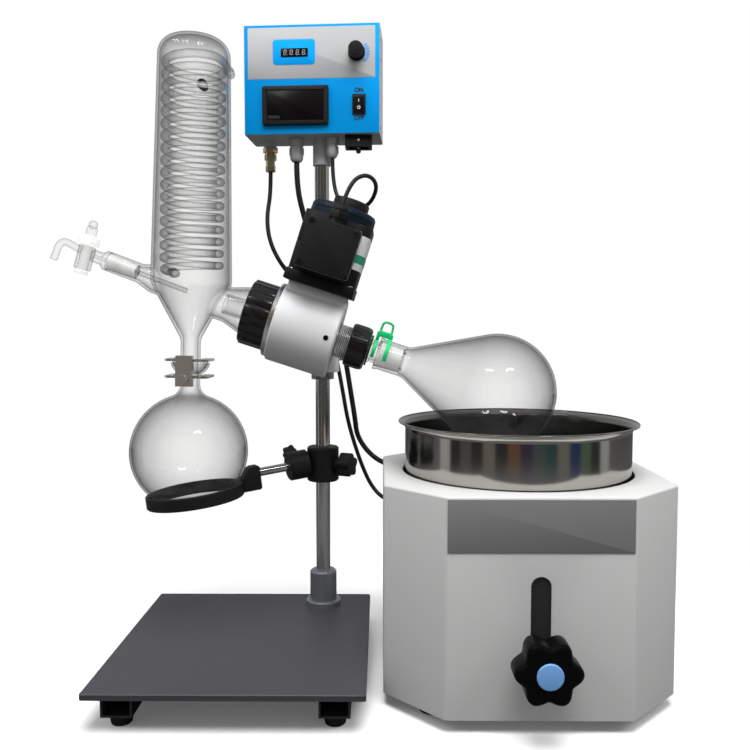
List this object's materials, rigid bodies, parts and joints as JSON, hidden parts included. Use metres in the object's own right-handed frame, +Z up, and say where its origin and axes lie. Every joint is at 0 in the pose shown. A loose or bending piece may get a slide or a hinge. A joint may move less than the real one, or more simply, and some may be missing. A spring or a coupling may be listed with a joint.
{
  "type": "rotary evaporator",
  "caption": "Laboratory rotary evaporator with a tilted drive head on a column, glass coil condenser, flasks, control box and a separate lifting water bath.",
  "frame": {"origin": "on the bench under the middle of the object's box, taken without its cables", "axes": "+X to the user's right, +Y away from the user, +Z up"},
  "size_m": [0.6618, 0.3491, 0.72],
  "materials": {
    "plate_black": "satin powder coat",
    "foot_rubber": "matt",
    "column_steel": "polished",
    "socket_metal": "satin",
    "head_white": "satin powder coat",
    "bright_metal": "machined",
    "seal_rubber": "matt",
    "case_white": "satin powder coat",
    "panel_blue": "satin print",
    "display_black": "glossy",
    "black_plastic": "satin",
    "gloss_black": "glossy",
    "motor_navy": "satin",
    "gland_grey": "satin",
    "brass": "plated",
    "cable_black": "matt",
    "pot_steel": "polished stainless steel",
    "clear_glass": "clear",
    "clip_green": "glossy"
  },
  "bodies": {
    "stand": {"base_plate": "plate_black", "base_rails": "plate_black", "base_feet": "foot_rubber", "column_socket": "socket_metal", "column": "column_steel", "lock_collar": "socket_metal", "control_sleeve": "black_plastic", "control_case": "case_white", "control_panel": "panel_blue", "display_window": "display_black", "panel_meter": "display_black", "signal_connector": "brass", "cable_glands": "gland_grey", "power_socket": "black_plastic", "sensor_cable": "cable_black", "heater_cable": "cable_black", "motor_cable": "cable_black", "bath_shell": "case_white", "bath_base": "case_white", "bath_feet": "foot_rubber", "bath_glands": "gland_grey"},
    "speed_dial": {"speed_knob": "black_plastic"},
    "rocker": {"power_rocker": "black_plastic"},
    "bath": {"bath_pot": "pot_steel", "bath_heater": "pot_steel", "lift_bracket": "pot_steel"},
    "bath_star": {"lift_knob": "gloss_black"},
    "ring_carrier": {"boss_head": "black_plastic", "ring_rod": "column_steel", "support_ring": "black_plastic"},
    "column_star": {"column_knob": "black_plastic"},
    "rod_star": {"rod_knob": "black_plastic"},
    "head": {"head_housing": "head_white", "column_clamp": "head_white", "clamp_screws": "bright_metal", "end_cover": "bright_metal", "gear_head": "black_plastic", "motor_body": "black_plastic", "motor_end_cap": "motor_navy", "vent_cap": "black_plastic", "terminal_box": "black_plastic", "terminal_cover": "black_plastic", "motor_gland": "gland_grey", "shaft_bearings": "bright_metal", "shaft_seal": "seal_rubber", "condenser_jacket": "clear_glass", "condenser_coil": "clear_glass", "stopcock_body": "clear_glass", "receiver_clamp": "pot_steel", "receiving_flask": "clear_glass"},
    "cap": {"cap_nut": "gloss_black"},
    "thumbscrew": {"clamp_thumbscrew": "pot_steel"},
    "key": {"stopcock_key": "clear_glass"},
    "rotor": {"drive_pinion": "bright_metal"},
    "shaft": {"drive_shaft": "bright_metal", "crown_gear": "bright_metal", "vapour_duct": "clear_glass", "evaporating_flask": "clear_glass", "joint_clip": "clip_green"},
    "push_nut": {"release_nut": "gloss_black"}
  },
  "joints": [
    {"name": "flask_spin", "type": "hinge", "parent": "head", "child": "shaft", "pos_m": [-0.044, 0.05, 0.3745], "axis": [0.9511, 0, -0.309], "continuous": true},
    {"name": "motor_spin", "type": "hinge", "parent": "head", "child": "rotor", "pos_m": [-0.044, 0.05, 0.3745], "axis": [0.309, 0, 0.9511], "continuous": true},
    {"name": "head_lift", "type": "slide", "parent": "stand", "child": "head", "axis": [0, 0, 1], "range_m": [0, 0.03], "deforming": ["motor_cable"]},
    {"name": "bath_lift", "type": "slide", "parent": "stand", "child": "bath", "axis": [0, 0, 1], "range_m": [0, 0.03]},
    {"name": "lift_knob_turn", "type": "hinge", "parent": "bath", "child": "bath_star", "pos_m": [0.1865, -0.123, 0.074], "axis": [0, -1, 0], "continuous": true},
    {"name": "stopcock_turn", "type": "hinge", "parent": "head", "child": "key", "pos_m": [-0.2898, 0.05, 0.46056], "axis": [0.2756, 0, 0.9613], "range_deg": [0, 90]},
    {"name": "speed_knob_turn", "type": "hinge", "parent": "stand", "child": "speed_dial", "pos_m": [0.01146, 0.07734, 0.6875], "axis": [0.061, 0.9981, 0], "range_deg": [0, 280]},
    {"name": "power_rocker_tilt", "type": "hinge", "parent": "stand", "child": "rocker", "pos_m": [0.01396, 0.07719, 0.63], "axis": [0.9981, -0.061, 0], "range_deg": [-20, 0]},
    {"name": "ring_height", "type": "slide", "parent": "stand", "child": "ring_carrier", "axis": [0, 0, 1], "range_m": [-0.06, 0]},
    {"name": "column_knob_turn", "type": "hinge", "parent": "ring_carrier", "child": "column_star", "pos_m": [-0.031, 0.112, 0.214], "axis": [0.9063, -0.4226, 0], "continuous": true},
    {"name": "rod_knob_turn", "type": "hinge", "parent": "ring_carrier", "child": "rod_star", "pos_m": [-0.06026, 0.10004, 0.2138], "axis": [-0.4145, 0.8292, 0.3749], "continuous": true},
    {"name": "clamp_screw_turn", "type": "hinge", "parent": "head", "child": "thumbscrew", "pos_m": [-0.17535, 0.05, 0.3214], "axis": [0, -1, 0], "continuous": true},
    {"name": "cap_nut_turn", "type": "hinge", "parent": "head", "child": "cap", "pos_m": [-0.044, 0.05, 0.3745], "axis": [0.9511, 0, -0.309], "continuous": true},
    {"name": "release_nut_turn", "type": "hinge", "parent": "shaft", "child": "push_nut", "pos_m": [-0.044, 0.05, 0.3745], "axis": [0.9511, 0, -0.309], "continuous": true}
  ],
  "couplings": [
    {"joint": "motor_spin", "follows": "flask_spin", "ratio": 3}
  ]
}
